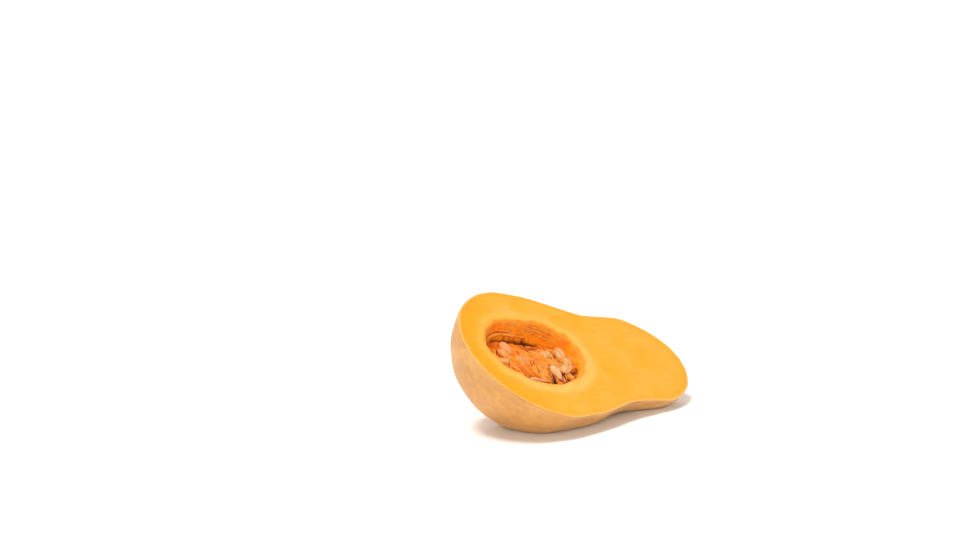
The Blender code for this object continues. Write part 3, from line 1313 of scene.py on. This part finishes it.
@dataclass
class Pulp:
    """The stringy tissue in the cavity: full on the near side and sunk on the far side.

    The slit is the gap along the far wall, the pit a small hole, the moat a furrow along
    the near edge, and hug is how far the pulp builds up round a seed. Shade is painted darker
    in the slit, the pit, the moat and the grooves between strands.
    """

    hollow: HollowForm
    resting: Resting
    seeds: Seeds
    drop_near: float = 4.0 * MM
    drop_far: float = 16.5 * MM
    slope_power: float = 1.6
    around: int = 420
    rings: int = 100
    wall_rings: int = 8
    inset: float = 0.15 * MM
    rounds: int = 8
    highest: float = -0.8 * MM
    edge_calm: Fade = Fade(0.94, 1.0)
    lumps: tuple[Ripple, ...] = (
        Ripple(11.0 * MM, 73, height=0.8 * MM),
        Ripple(1.6 * MM, 72, (1.0, 5.0, 3.0), 0.20 * MM),
    )
    slit_place: float = 0.070
    slit_reach: float = 0.026
    slit_width: float = 2.8 * MM
    slit_depth: float = 5.5 * MM
    slit_side: Fade = Fade(0.010, 0.0)
    slit_squeeze: float = 0.8
    slit_shade: float = 0.85
    pit_place: tuple[float, float] = (0.0785, -0.0246)
    pit_size: float = 2.6 * MM
    pit_depth: float = 5.0 * MM
    pit_shade: float = 1.5
    strand_lean: float = 0.25
    strand_sway: Ripple = Ripple(30.0 * MM, 74, height=2.4 * MM)
    strand_wave: Ripple = Ripple(6.0 * MM, 75, (1.0, 4.5, 2.0), waves=24)
    strand_edge: Fade = Fade(0.08, 0.80)
    strand_depth: float = 2.0 * MM
    strand_shade: float = 0.95
    strand_pale: Fade = Fade(1.0, 0.7, 0.75)
    strand_neck: Fade = Fade(0.080, 0.052, least=0.30)
    strand_near: Fade = Fade(0.010, 0.024, least=0.35)
    strand_patches: Ripple = Ripple(17.0 * MM, 76)
    strand_patch: Fade = Fade(0.4, -0.9, least=0.4)
    moat_angle: float = -0.62 * math.pi
    moat_span: float = 0.34 * math.pi
    moat_edge: Fade = Fade(0.95, 0.84)
    moat_depth: float = 2.2 * MM
    moat_shade: float = 0.65
    hug: float = 1.1 * MM
    pocket_gap: float = 0.15 * MM

    def level(self, points: np.ndarray) -> np.ndarray:
        """Works out the pulp's plain top, with no relief.

        Args:
            points: Points of the fruit's frame.

        Returns:
            The top's height at each point.
        """
        across = (points[:, 1] - self.hollow.centre[1]) / self.hollow.half[1]
        share = np.clip(0.5 + 0.5 * across, 0.0, 1.0)
        return -(self.drop_near + (self.drop_far - self.drop_near) * share**self.slope_power)

    def slit(self, edge: np.ndarray, share: float) -> np.ndarray:
        """Finds how far a ring lies in the gap where the pulp has shrunk from the far wall.

        Args:
            edge: The pulp's edge, which the ring follows.
            share: How far out the ring is, 1 at the edge.

        Returns:
            A share for each of the ring's points.
        """
        along = (edge[:, 0] - self.slit_place) / self.slit_reach
        far = self.slit_side.at(edge[:, 1] - self.hollow.centre[1])
        off = (1.0 - share) * self.hollow.half[1] * self.slit_squeeze / self.slit_width
        return far * np.exp(-(along**4)) * math.exp(-(off**2))

    def pit(self, points: np.ndarray) -> np.ndarray:
        """Returns how far each point is in the small hole near the lip, where shade is painted
        dark.
        """
        away = points[:, :2] - np.array(self.pit_place)
        return np.exp(-((away**2).sum(axis=1) / self.pit_size**2))

    def groove(self, points: np.ndarray) -> np.ndarray:
        """Finds the grooves between the thick strands: the lines where a leaning wave is zero.

        Args:
            points: Points of the fruit's frame.

        Returns:
            A share for each point, 1 in the middle of a groove.
        """
        along = points[:, 0] + self.strand_lean * points[:, 1] + self.strand_sway.at(points)
        wave = self.strand_wave.at(np.column_stack((along, points[:, 1:])))
        return self.strand_edge.at(np.abs(wave))

    def strands(self, points: np.ndarray) -> np.ndarray:
        """Works out how strongly the pulp has drawn into thick strands.

        Args:
            points: Points of the fruit's frame.

        Returns:
            A share for each point: more towards the neck, on the near side and in patches.
        """
        patch = self.strand_patch.at(self.strand_patches.at(points))
        return self.strand_neck.at(points[:, 0]) * patch * self.strand_near.at(points[:, 1])

    def moat(self, points: np.ndarray) -> np.ndarray:
        """Finds the furrow along the cavity's near edge.

        Args:
            points: Points of the fruit's frame.

        Returns:
            How far each point is in the furrow, as a share.
        """
        away = points[:, :2] - np.array(self.hollow.centre)[:2]
        reach = np.hypot(away[:, 0] / self.hollow.half[0], away[:, 1] / self.hollow.half[1])
        angle = np.arctan2(away[:, 1], away[:, 0])
        side = np.exp(-(((angle - self.moat_angle) / self.moat_span) ** 4))
        return side * self.moat_edge.at(reach)

    def relief(self, points: np.ndarray) -> np.ndarray:
        """Adds up the lumps, strings, strands, furrow and pit.

        Args:
            points: Points of the fruit's frame.

        Returns:
            The height over the plain top at each point.
        """
        height = total(self.lumps, points)
        height -= self.strand_depth * self.groove(points) * self.strands(points)
        height -= self.moat_depth * self.moat(points)
        return height - self.pit_depth * self.pit(points)

    def edge(self, angle: np.ndarray) -> tuple[np.ndarray, np.ndarray]:
        """Finds where the pulp's top meets the wall, going round until it settles.

        Args:
            angle: The angles round the cavity.

        Returns:
            The edge's points, and the dip of each.
        """
        dip = self.hollow.dip_at(angle, np.full_like(angle, -self.drop_near))
        for _ in range(self.rounds):
            edge = self.hollow.wall(angle, dip, self.inset)
            dip = self.hollow.dip_at(
                angle, self.level(edge) - self.slit_depth * self.slit(edge, 1.0)
            )
        return self.hollow.wall(angle, dip, self.inset), dip

    def shares(self, points: np.ndarray, slits: np.ndarray) -> dict[str, np.ndarray]:
        """Works out where shade is painted dark on the pulp and where it is pale.

        Args:
            points: The pulp's vertices.
            slits: How far in the slit each of the top's vertices is. They come first.

        Returns:
            A share for each vertex, by the name that the finish reads it by.
        """
        groove, strands = self.groove(points), self.strands(points)
        # Painted shade: darker in the pit, the moat, the slit and the grooves between the strands.
        dark = self.pit_shade * self.pit(points) + self.moat_shade * self.moat(points)
        dark[: len(slits)] += self.slit_shade * slits
        dark += self.strand_shade * groove**1.4 * strands
        pale = self.strand_pale.at(1.0 - groove) * strands
        return {"dark_share": np.clip(dark, 0.0, 1.0), "pale_share": pale}

    def build(self) -> bpy.types.Object:
        """Builds the piece.

        Returns:
            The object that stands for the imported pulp.
        """
        parts = MeshParts()
        angle = np.linspace(-math.pi, math.pi, self.around, endpoint=False)
        edge, edge_dip = self.edge(angle)
        centre = np.array(self.hollow.centre)
        ring, slits = None, []
        for share in np.linspace(1.0, 0.0, self.rings + 1)[:-1]:
            level = centre + (edge - centre) * share
            slits.append(self.slit(edge, share))
            level[:, 2] = self.level(level) - self.slit_depth * slits[-1]
            fade = self.edge_calm.at(np.array(share))
            level[:, 2] += self.relief(level) * fade
            for pose in self.seeds.poses:
                level[:, 2] += self.hug * fade * pose.beside(level, self.seeds.form)
            level[:, 2] = np.minimum(level[:, 2], self.highest)
            for pose in self.seeds.poses:
                level = pose.under(level, self.seeds.form, self.pocket_gap)
            inner = parts.add_points(level)
            if ring is None:
                outer = inner
            else:
                parts.add_band(ring, inner, 0)
            ring = inner
        middle = centre.copy()[None, :]
        middle[0, 2] = self.level(middle)[0]
        parts.add_band(ring, parts.add_points(middle), 0)
        ring = outer[::-1]
        for step in np.linspace(0.0, 1.0, self.wall_rings + 1)[1:-1]:
            dip = edge_dip + (0.5 * math.pi - edge_dip) * step
            lower = parts.add_points(self.hollow.wall(angle, dip, self.inset))[::-1]
            parts.add_band(ring, lower, 0)
            ring = lower
        bottom = self.hollow.wall(np.array([0.0]), np.array([0.5 * math.pi]), self.inset)
        parts.add_band(ring, parts.add_points(bottom), 0)

        shares = self.shares(np.concatenate(parts.points), np.concatenate(slits))
        mesh = dressed(parts, "stringy_pulp", self.resting, shares, PulpFinish().build())
        return show(mesh, "pulp", "pulp")


@dataclass
class PulpStrings:
    """Loose strings of the pulp, lying across it and over the seeds, and down the bare wall.

    A pair is a range: of radii and depths in millimetres, of angles in radians, of shares of the
    way across, and of starts on the wall in half turns. Each fold is a thick ridge on the far
    wall: where it starts, its sweep, its depth, its drop and its radius.
    """

    hollow: HollowForm
    resting: Resting
    pulp: Pulp
    covers: list[bpy.types.Object]
    crossing: int = 58
    crossing_radii: tuple[float, float] = (0.22, 0.52)
    far_angles: tuple[float, float] = (0.20 * math.pi, 0.86 * math.pi)
    near_stray: float = 0.30
    near_lean: float = 0.10
    edge_dip: float = 0.3
    edge_inset: float = 0.6 * MM
    first_shares: tuple[float, float] = (0.20, 0.45)
    last_shares: tuple[float, float] = (0.60, 0.98)
    sway: float = 1.6 * MM
    sway_turns: tuple[float, float] = (1.0, 2.6)
    small_wave: float = 0.5 * MM
    waves_across: float = 17.0
    waves_along: float = 7.0
    phases: float = 6.0
    lift: float = 0.55
    on_wall: int = 11
    wall_radii: tuple[float, float] = (0.3, 0.75)
    wall_starts: tuple[float, float] = (0.35, 0.95)
    wall_sweeps: tuple[float, float] = (0.5, 1.3)
    wall_depths: tuple[float, float] = (2.5, 12.0)
    wall_drop: float = 1.5
    wall_off: float = 0.2 * MM
    steps: int = 18
    sides: int = 6
    seed: int = 5
    blunt: float = 0.4
    drape_from: float = 20.0 * MM
    drape_rounds: int = 3
    slack: float = 0.15 * MM
    highest: float = -0.4 * MM
    pale: Ripple = Ripple(12.0 * MM, 81, height=0.4)
    fold_off: float = 0.45
    folds: tuple[tuple[float, float, float, float, float], ...] = (
        (2.55, -1.30, 10.0 * MM, 2.6 * MM, 1.45 * MM),
        (2.40, -0.80, 7.4 * MM, 1.6 * MM, 0.85 * MM),
    )

    def cover(self) -> BVHTree:
        """Gathers the surfaces that the strings lie on.

        Returns:
            Their tree, in the fruit's frame.
        """
        points, faces = [], []
        for piece in self.covers:
            flat = np.empty(len(piece.data.vertices) * 3)
            piece.data.vertices.foreach_get("co", flat)
            local = self.resting.to_fruit(flat.reshape(-1, 3))
            start = len(points)
            points.extend(local.tolist())
            faces.extend([[start + v for v in poly.vertices] for poly in piece.data.polygons])
        return BVHTree.FromPolygons(points, faces)

    def drape(self, path: np.ndarray, cover: BVHTree, lift: float) -> np.ndarray:
        """Lays a path on what is under it.

        Args:
            path: The path's points in the fruit's frame.
            cover: The surfaces under it.
            lift: How far the path's middle line lies over them.

        Returns:
            The path, raised or lowered onto the surfaces and smoothed.
        """
        height = []
        for x, y, z in path:
            hit = cover.ray_cast(Vector((x, y, self.drape_from)), Vector((0.0, 0.0, -1.0)))[0]
            height.append(z if hit is None else hit.z + lift)
        heights = np.array(height)
        for _ in range(self.drape_rounds):
            padded = np.pad(heights, 1, mode="edge")
            mean = (padded[:-2] + padded[1:-1] + padded[2:]) / 3.0
            heights = np.maximum(mean, heights - self.slack)
        return np.column_stack((path[:, :2], np.minimum(heights, self.highest)))

    def tube(self, parts: MeshParts, path: np.ndarray, radius: np.ndarray) -> None:
        """Adds a closed round string along a path.

        Args:
            parts: The mesh that the string joins.
            path: Points along its middle line.
            radius: The radius at each point.
        """
        ahead = np.gradient(path, axis=0)
        ahead /= np.maximum(np.linalg.norm(ahead, axis=1)[:, None], 1e-9)
        side = np.cross(ahead, np.array([0.0, 0.0, 1.0]))
        side /= np.maximum(np.linalg.norm(side, axis=1)[:, None], 1e-9)
        up = np.cross(side, ahead)
        turn = np.linspace(0.0, 2.0 * math.pi, self.sides, endpoint=False)
        ring = None
        for i, point in enumerate(path):
            circle = np.outer(np.cos(turn), side[i]) + np.outer(np.sin(turn), up[i])
            numbers = parts.add_points(point + radius[i] * circle)
            if ring is None:
                start = parts.add_points(point[None, :])
                parts.add_band(numbers, start, 0)
            else:
                parts.add_band(numbers, ring, 0)
            ring = numbers
        end = parts.add_points(path[-1][None, :])
        parts.add_band(ring[::-1], end, 0)

    def crossing_path(self, rng: np.random.Generator) -> np.ndarray:
        """Lays out a random path from near the far wall over the pulp to near the near wall.

        Args:
            rng: The source of its numbers.

        Returns:
            The path's points.
        """
        start = rng.uniform(*self.far_angles)
        end = -start + rng.normal(0.0, self.near_stray) + self.near_lean
        ends = []
        for angle in (start, end):
            a = np.array([angle])
            top = self.pulp.level(self.hollow.wall(a, np.array([self.edge_dip])))
            ends.append(self.hollow.wall(a, self.hollow.dip_at(a, top), self.edge_inset)[0])
        first, last = rng.uniform(*self.first_shares), rng.uniform(*self.last_shares)
        share = np.linspace(first, last, self.steps)[:, None]
        path = ends[0] * (1.0 - share) + ends[1] * share
        sway = rng.normal(0.0, self.sway)
        sway = sway * np.sin(math.pi * share[:, 0] * rng.uniform(*self.sway_turns))
        small = np.sin(share[:, 0] * self.waves_across + rng.uniform(0.0, self.phases))
        path[:, 0] += sway + self.small_wave * small
        return path

    def wall_path(
        self, start: float, sweep: float, depth: float, drop: float, off: float, phase: float
    ) -> np.ndarray:
        """Lays out a path that runs lengthwise along the bare far wall.

        Args:
            start: The angle round the cavity where it starts.
            sweep: The angle that it turns through.
            depth: How deep under the cut face it starts.
            drop: How much deeper it ends.
            off: How far its middle line stands off the wall.
            phase: Where its small waves start.

        Returns:
            The path's points.
        """
        share = np.linspace(0.0, 1.0, self.steps)
        angles = start + sweep * share
        level = depth + drop * share + self.small_wave * np.sin(self.waves_along * share + phase)
        dips = self.hollow.dip_at(angles, -level)
        return self.hollow.wall(angles, dips, off)

    def build(self) -> bpy.types.Object:
        """Builds the strings as one piece.

        Returns:
            The object.
        """
        rng = np.random.default_rng(self.seed)
        cover = self.cover()
        parts = MeshParts()
        # Each string is thin at its two ends and round between them.
        ends = np.sin(math.pi * np.linspace(0.03, 0.97, self.steps)) ** self.blunt
        for _ in range(self.crossing):
            radius = rng.uniform(*self.crossing_radii) * MM
            path = self.drape(self.crossing_path(rng), cover, self.lift * radius)
            self.tube(parts, path, radius * ends)
        for _ in range(self.on_wall):
            radius = rng.uniform(*self.wall_radii) * MM
            start = rng.uniform(*self.wall_starts) * math.pi
            sweep = -rng.uniform(*self.wall_sweeps)
            depth = rng.uniform(*self.wall_depths) * MM
            drop = rng.normal(0.0, self.wall_drop) * MM
            phase = rng.uniform(0.0, self.phases)
            path = self.wall_path(start, sweep, depth, drop, self.wall_off, phase)
            self.tube(parts, path, radius * ends)
        for start, sweep, depth, drop, radius in self.folds:
            path = self.wall_path(start, sweep, depth, drop, self.fold_off * radius, start)
            self.tube(parts, path, radius * ends)
        shares = {"pale_share": 0.5 + self.pale.at(np.concatenate(parts.points))}
        mesh = dressed(parts, "pulp_strings", self.resting, shares, StringFinish().build())
        return show(mesh, "pulp")


@dataclass(frozen=True)
class Softbox:
    """A soft square lamp that faces the squash: its side is in metres and its power in watts."""

    name: str
    place: tuple[float, float, float]
    side: float
    power: float
    tint: str
    aim: tuple[float, float, float] = (0.0, 0.0, 0.03)

    def build(self) -> None:
        """Hangs the lamp."""
        lamp = bpy.data.lights.new(self.name, "AREA")
        lamp.shape = "SQUARE"
        lamp.size = self.side
        lamp.energy = self.power
        lamp.color = linear(self.tint)[:3]
        aim = Vector(self.aim) - Vector(self.place)
        hang(lamp, self.place, aim.to_track_quat("-Z", "Y").to_euler())


def hang(
    data: bpy.types.Light | bpy.types.Camera,
    place: tuple[float, float, float],
    turn: Euler,
) -> bpy.types.Object:
    """Puts a light or a camera into the scene.

    Args:
        data: The light or the camera.
        place: Where it hangs.
        turn: How it is turned.

    Returns:
        The object that holds it.
    """
    holder = bpy.data.objects.new(data.name, data)
    holder.location = place
    holder.rotation_euler = turn
    bpy.context.scene.collection.objects.link(holder)
    return holder


@dataclass
class Studio:
    """White paper that curves up all round, soft lights and the camera."""

    floor_radius: float = 2.6
    sweep_radius: float = 2.2
    slope: float = math.radians(42.0)
    slope_length: float = 1.75
    curve_steps: int = 12
    around: int = 96
    camera_place: tuple[float, float, float] = (-0.83850, -0.81272, 0.26029)
    camera_yaw: float = math.radians(42.212)
    camera_dip: float = math.radians(7.196)
    camera_lens: float = 57.42
    camera_near: float = 0.05
    sky_light: float = 0.42
    horizon_light: float = 0.16
    horizon: tuple[float, float] = (0.12, 0.42)
    key_light: float = 2.45
    key_from: tuple[float, float, float] = (-0.26, 0.12, 0.95)
    key_spread: float = math.radians(24.0)
    softboxes: tuple[Softbox, ...] = (
        Softbox("front_softbox", (-1.15, -1.10, 0.48), 0.6, 9.0, "#FFFDF8"),
        Softbox("rear_softbox", (1.10, 1.40, 0.75), 0.8, 12.0, "#FFFFFF"),
    )

    def build_floor(self) -> bpy.types.Object:
        """Builds the paper: a round floor that curves up into a slope on every side.

        Returns:
            The paper.
        """
        profile = [(0.0, 0.0), (self.floor_radius, 0.0)]
        for turn in np.linspace(0.0, self.slope, self.curve_steps + 1)[1:]:
            out = self.floor_radius + self.sweep_radius * math.sin(turn)
            profile.append((out, self.sweep_radius * (1.0 - math.cos(turn))))
        out, height = profile[-1]
        rise = self.slope_length * math.sin(self.slope)
        profile.append((out + self.slope_length * math.cos(self.slope), height + rise))
        parts = MeshParts()
        around = np.linspace(0.0, 2.0 * math.pi, self.around, endpoint=False)
        rings = []
        for out, height in profile[1:]:
            circle = (out * np.cos(around), out * np.sin(around), np.full_like(around, height))
            rings.append(parts.add_points(np.column_stack(circle)))
        parts.add_band(rings[0], parts.add_points(np.zeros((1, 3))), 0)
        for inner, outer in zip(rings, rings[1:]):
            parts.add_band(outer, inner, 0)
        mesh = parts.mesh("studio_paper")
        keep_place(mesh, np.concatenate(parts.points))
        mesh.materials.append(PaperFinish().build())
        floor = bpy.data.objects.new("studio_paper", mesh)
        bpy.context.scene.collection.objects.link(floor)
        LOG.info("%s: %d faces", floor.name, len(mesh.polygons))
        return floor

    def light(self) -> None:
        """Adds the lamps and the even light of the room."""
        world = bpy.data.worlds.new("white_room")
        world.use_nodes = True
        tree = world.node_tree
        tree.nodes.clear()
        way = add_node(tree, "ShaderNodeTexCoord")
        parts = add_node(
            tree, "ShaderNodeSeparateXYZ", None, {"Vector": way.outputs["Generated"]}
        )
        height = add_node(
            tree,
            "ShaderNodeMapRange",
            {
                "interpolation_type": "SMOOTHSTEP",
                "From Min": self.horizon[0],
                "From Max": self.horizon[1],
                "To Min": self.horizon_light,
                "To Max": self.sky_light,
            },
            {"Value": parts.outputs["Z"]},
        )
        room = add_node(
            tree,
            "ShaderNodeBackground",
            {"Color": linear("#FFFFFF")},
            {"Strength": height.outputs["Result"]},
        )
        add_node(tree, "ShaderNodeOutputWorld", None, {"Surface": room.outputs["Background"]})
        bpy.context.scene.world = world
        key = bpy.data.lights.new("overhead_key", "SUN")
        key.energy = self.key_light
        key.angle = self.key_spread
        hang(key, (0.0, 0.0, 0.0), Vector(self.key_from).to_track_quat("Z", "Y").to_euler())
        for softbox in self.softboxes:
            softbox.build()

    def build_camera(self) -> None:
        """Adds the camera at its viewing angle."""
        camera = bpy.data.cameras.new("camera")
        camera.lens = self.camera_lens
        camera.clip_start = self.camera_near
        turn = Euler((0.5 * math.pi - self.camera_dip, 0.0, -self.camera_yaw))
        bpy.context.scene.camera = hang(camera, self.camera_place, turn)

    def build(self) -> None:
        """Builds the floor, the lamps and the camera."""
        self.build_floor()
        self.light()
        self.build_camera()
        bpy.context.scene.view_settings.view_transform = "Standard"


def main() -> None:
    """Builds the studio, the half, its seeds, its pulp and the strings, and logs their face
    counts.
    """
    logging.basicConfig(level=logging.INFO, format="%(name)s: %(message)s")
    Studio().build()
    resting, form, hollow = Resting(), FruitForm(), HollowForm()
    SquashBody(form, hollow, resting).build()
    seeds = Seeds(resting)
    seeds.read()
    seed_pieces = seeds.build()
    pulp = Pulp(hollow, resting, seeds)
    pulp_piece = pulp.build()
    PulpStrings(hollow, resting, pulp, [pulp_piece, *seed_pieces]).build()


if __name__ == "__main__":
    main()
